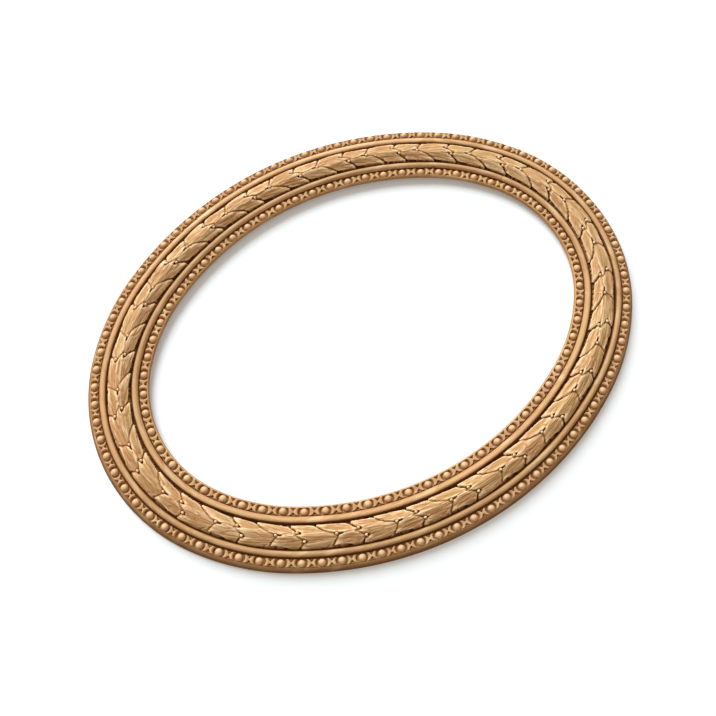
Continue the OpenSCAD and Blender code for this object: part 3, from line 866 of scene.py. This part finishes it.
def metal(name, tone, turn, roughness):
    """Plated metal: fine brushed lines, cloudy plating, and a dull bloom."""
    material = bpy.data.materials.new(name)
    g = Graph(material)
    brushed, cloud = g.grain(BRUSHED, turn), g.grain(CLOUD)
    base = g.mix(cloud.mapped(0.4, 0.65), tone, [CLOUD_DARK * c for c in tone])
    rough = brushed.mapped(0.3, 0.7, roughness - 0.06, roughness + 0.08)
    rough = rough + cloud.mapped(0.4, 0.7, 0.0, 0.08)
    bump = g.node("ShaderNodeBump", {"Height": brushed, "Strength": 0.25, "Distance": BRUSH_DEPTH})
    g.finish(g.node("ShaderNodeBsdfPrincipled", {
        "Base Color": base, "Metallic": 1.0, "Roughness": rough, "Normal": bump}))
    return material


def refinish(node, material):
    """Gives a kept CAD node its own finish."""
    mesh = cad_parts[node].data
    for number in range(len(mesh.materials)):
        mesh.materials[number] = material


# Operators, one for each group of like pieces

# A tint below 0 darkens the wood, and one above 0 makes it paler
RING_TINTS = (0.0, -0.06, 0.08, 0.0, -0.05, 0.06, 0.0, 0.05)
GARLAND_TINTS = (0.05, 0.0, -0.05, 0.06, 0.0, 0.05, -0.04, 0.0)
PEARL_TINTS, SPLINE_TINT = (-0.14, -0.07, -0.11, -0.09), -0.5
GARLAND_SEED, OUTER_SEED, INNER_SEED, SPLINE_SEED = 10, 20, 30, 60


class FRAME_OT_ring(bpy.types.Operator):
    """Finishes the eight segments of the ring, each with the grain of its own board"""
    bl_idname = "oval_frame.ring"
    bl_label = "Ring segments"

    def execute(self, context):
        sizes, colours = context.scene.frame_sizes, context.scene.wood_colours
        oval = Oval(sizes)
        for arc in SEGMENTS:
            painted_light, lean = ring_painted_light(oval, sizes, arc), ring_lean(oval, sizes, arc)
            material = wood(
                f"ring_wood_{arc + 1}", colours, oval.chord(arc), arc, painted_light, lean, RING_TINTS[arc])
            refinish(f"ring_segment_{arc + 1}", material)
        return {"FINISHED"}


class FRAME_OT_garland(bpy.types.Operator):
    """Carves the laurel garland: leaves, veins, berries and drilled eyes"""
    bl_idname = "oval_frame.garland"
    bl_label = "Laurel garland"

    def execute(self, context):
        scene = context.scene
        oval = Oval(scene.frame_sizes)
        for arc in SEGMENTS:
            carved = garland_piece(oval, scene.frame_sizes, scene.laurel_sizes, arc)
            material = wood(f"garland_wood_{arc + 1}", scene.wood_colours, oval.chord(arc),
                            GARLAND_SEED + arc, tint=GARLAND_TINTS[arc])
            make_piece(f"laurel_{arc + 1}", *carved, "garland_wood", material, f"garland_{arc + 1}")
        return {"FINISHED"}


class PearlRow:
    """What both rows share. Counts are pearls to a segment, for half the oval."""

    def execute(self, context):
        scene = context.scene
        sizes = scene.frame_sizes
        oval = Oval(sizes)
        depth = oval.inner_row_in if self.tongue else oval.row_in
        for arc in SEGMENTS:
            carved = pearl_piece(
                oval, sizes, scene.pearl_sizes, arc, self.counts[arc % 4], depth, self.tongue)
            material = wood(f"{self.row}_wood_{arc + 1}", scene.wood_colours, oval.chord(arc),
                            self.seed + arc, tint=PEARL_TINTS[arc % 4])
            make_piece(f"{self.row}_row_{arc + 1}", *carved, "pearl_wood", material,
                       f"{self.row}_pearls_{arc + 1}")
        return {"FINISHED"}


class FRAME_OT_outer_row(PearlRow, bpy.types.Operator):
    """Carves the outer row of pearls with its lands and nicks"""
    bl_idname = "oval_frame.outer_row"
    bl_label = "Outer row of pearls"
    counts, tongue, row, seed = (12, 5, 20, 5), False, "outer", OUTER_SEED


class FRAME_OT_inner_row(PearlRow, bpy.types.Operator):
    """Carves the inner row of pearls, which forms the lip over the rebate"""
    bl_idname = "oval_frame.inner_row"
    bl_label = "Inner row of pearls"
    counts, tongue, row, seed = (8, 4, 16, 4), True, "inner", INNER_SEED


class FRAME_OT_hardware(bpy.types.Operator):
    """Finishes the splines, the turn buttons, the keyhole plate and the screws"""
    bl_idname = "oval_frame.hardware"
    bl_label = "Splines and hardware"

    def execute(self, context):
        colours = context.scene.wood_colours
        steel = metal("zinc_plate", colours.steel, STEEL_TURN, STEEL_ROUGH)
        for name in [f"turn_button_{n}" for n in range(1, 7)] + ["keyhole_plate"]:
            refinish(name, steel)
        brass = metal("brass_plate", colours.brass, 0.0, BRASS_ROUGH)
        for name in ("button_screws", "plate_screws"):
            refinish(name, brass)
        refinish("joint_splines", wood("spline_wood", colours, 0.0, SPLINE_SEED, tint=SPLINE_TINT))
        return {"FINISHED"}


FLOOR_HALF, FLOOR_UP, PLAIN_TO = 6.0, -0.03 * MM, 3
# The camera's turn, rise and roll in degrees, and its place in mm
CAMERA_ANGLES, CAMERA_PLACE, FILM = (-31.0, 68.31, 1.09), (-149.4, -236.7, 650.0), 36.0


def facing(right, up, back, place):
    """A matrix at a place with these sides, for a lamp or a camera."""
    return Matrix([[right[k], up[k], back[k], place[k]] for k in range(3)] + [[0, 0, 0, 1]])


class FRAME_OT_stage(bpy.types.Operator):
    """Sets the floor, the lamp, the world and the camera"""
    bl_idname = "oval_frame.stage"
    bl_label = "Floor, lamp and camera"

    def execute(self, context):
        scene = context.scene
        for step in (self.add_floor, self.add_world, self.add_lamp, self.add_camera):
            step(scene, scene.stage_settings)
        scene.view_settings.view_transform = "Standard"
        return {"FINISHED"}

    def add_floor(self, scene, stage):
        """A wide square sheet just under the back, with more white where it is seen or mirrored."""
        corners = [(x * FLOOR_HALF, y * FLOOR_HALF, FLOOR_UP)
                   for x, y in ((-1, -1), (1, -1), (1, 1), (-1, 1))]
        mesh = bpy.data.meshes.new("floor")
        mesh.from_pydata(corners, [], [(0, 1, 2, 3)])
        floor = bpy.data.objects.new("floor", mesh)
        scene.collection.objects.link(floor)
        material = bpy.data.materials.new("floor_white")
        g = Graph(material)
        matt = g.node("ShaderNodeBsdfDiffuse", {"Color": (*stage.floor, 1)})
        out = g.node("ShaderNodeVectorMath", {0: g.place()}, out=1, operation="LENGTH")
        start = stage.plain_from
        lift = out.mapped(start, PLAIN_TO * start, stage.floor_lift, 1.0, smooth=True)
        white = g.node("ShaderNodeEmission", {"Color": (1, 1, 1, 1), "Strength": g.seen() * lift})
        g.finish(g.node("ShaderNodeAddShader", {0: matt, 1: white}))
        mesh.materials.append(material)

    def add_world(self, scene, stage):
        """White where it is seen or mirrored, and the fill strength where it only lights."""
        scene.world = bpy.data.worlds.new("studio")
        g = Graph(scene.world)
        seen = g.seen()
        strength = seen * (1.0 - stage.fill) + stage.fill
        tone = g.mix(seen, stage.fill_tone, (1, 1, 1))
        back = g.node("ShaderNodeBackground", {"Color": tone, "Strength": strength})
        g.node("ShaderNodeOutputWorld", {"Surface": back})

    def add_lamp(self, scene, stage):
        """A large soft key from beyond the far side, aimed at the middle of the frame."""
        lamp = bpy.data.lights.new("key", "AREA")
        lamp.shape, lamp.size = "DISK", stage.key_size
        lamp.energy, lamp.color = stage.key, stage.key_tone
        key = bpy.data.objects.new("key", lamp)
        turn, rise = stage.key_turn, stage.key_rise
        flat = math.cos(rise)
        place = stage.key_away * np.array([flat * math.cos(turn), flat * math.sin(turn),
                                           math.sin(rise)])
        back = place / np.linalg.norm(place)
        right = np.cross((0, 0, 1), back)
        right /= np.linalg.norm(right)
        key.matrix_world = facing(right, np.cross(back, right), back, place)
        scene.collection.objects.link(key)

    def add_camera(self, scene, stage):
        """Looks down from the near left, as the photographer did."""
        turn, rise, roll = (math.radians(degrees) for degrees in CAMERA_ANGLES)
        flat = math.cos(rise)
        back = np.array([math.sin(turn) * flat, -math.cos(turn) * flat, math.sin(rise)])
        right = np.array([math.cos(turn), math.sin(turn), 0.0])
        up = np.cross(back, right)
        c, s = math.cos(roll), math.sin(roll)
        data = bpy.data.cameras.new("camera")
        data.lens, data.sensor_width = stage.lens, FILM
        camera = bpy.data.objects.new("camera", data)
        camera.matrix_world = facing(right * c + up * s, up * c - right * s, back,
                                     np.array(CAMERA_PLACE) * MM)
        scene.collection.objects.link(camera)
        scene.camera = camera


class FRAME_PT_panel(bpy.types.Panel):
    """Lists the steps and their sizes"""
    bl_idname = "FRAME_PT_panel"
    bl_label = "Oval frame"
    bl_space_type = "VIEW_3D"
    bl_region_type = "UI"
    bl_category = "Oval Frame"

    def draw(self, context):
        for step in STEPS:
            self.layout.operator(step.bl_idname)
        for name in GROUPS:
            box = self.layout.box()
            group = getattr(context.scene, name)
            for key in group.__annotations__:
                box.prop(group, key)


STEPS = (FRAME_OT_ring, FRAME_OT_garland, FRAME_OT_outer_row, FRAME_OT_inner_row, FRAME_OT_hardware,
         FRAME_OT_stage)
GROUPS = {"frame_sizes": FrameSizes, "pearl_sizes": PearlSizes, "laurel_sizes": LaurelSizes,
          "wood_colours": WoodColours, "stage_settings": StageSettings}
CLASSES = (*GROUPS.values(), *STEPS, FRAME_PT_panel)


def register():
    for each in CLASSES:
        bpy.utils.register_class(each)
    for name, group in GROUPS.items():
        setattr(bpy.types.Scene, name, PointerProperty(type=group))


def unregister():
    for name in GROUPS:
        delattr(bpy.types.Scene, name)
    for each in reversed(CLASSES):
        bpy.utils.unregister_class(each)


def main():
    register()
    for step in STEPS:
        group, name = step.bl_idname.split(".")
        getattr(getattr(bpy.ops, group), name)()
    bpy.context.view_layer.update()


if __name__ == "__main__":
    main()
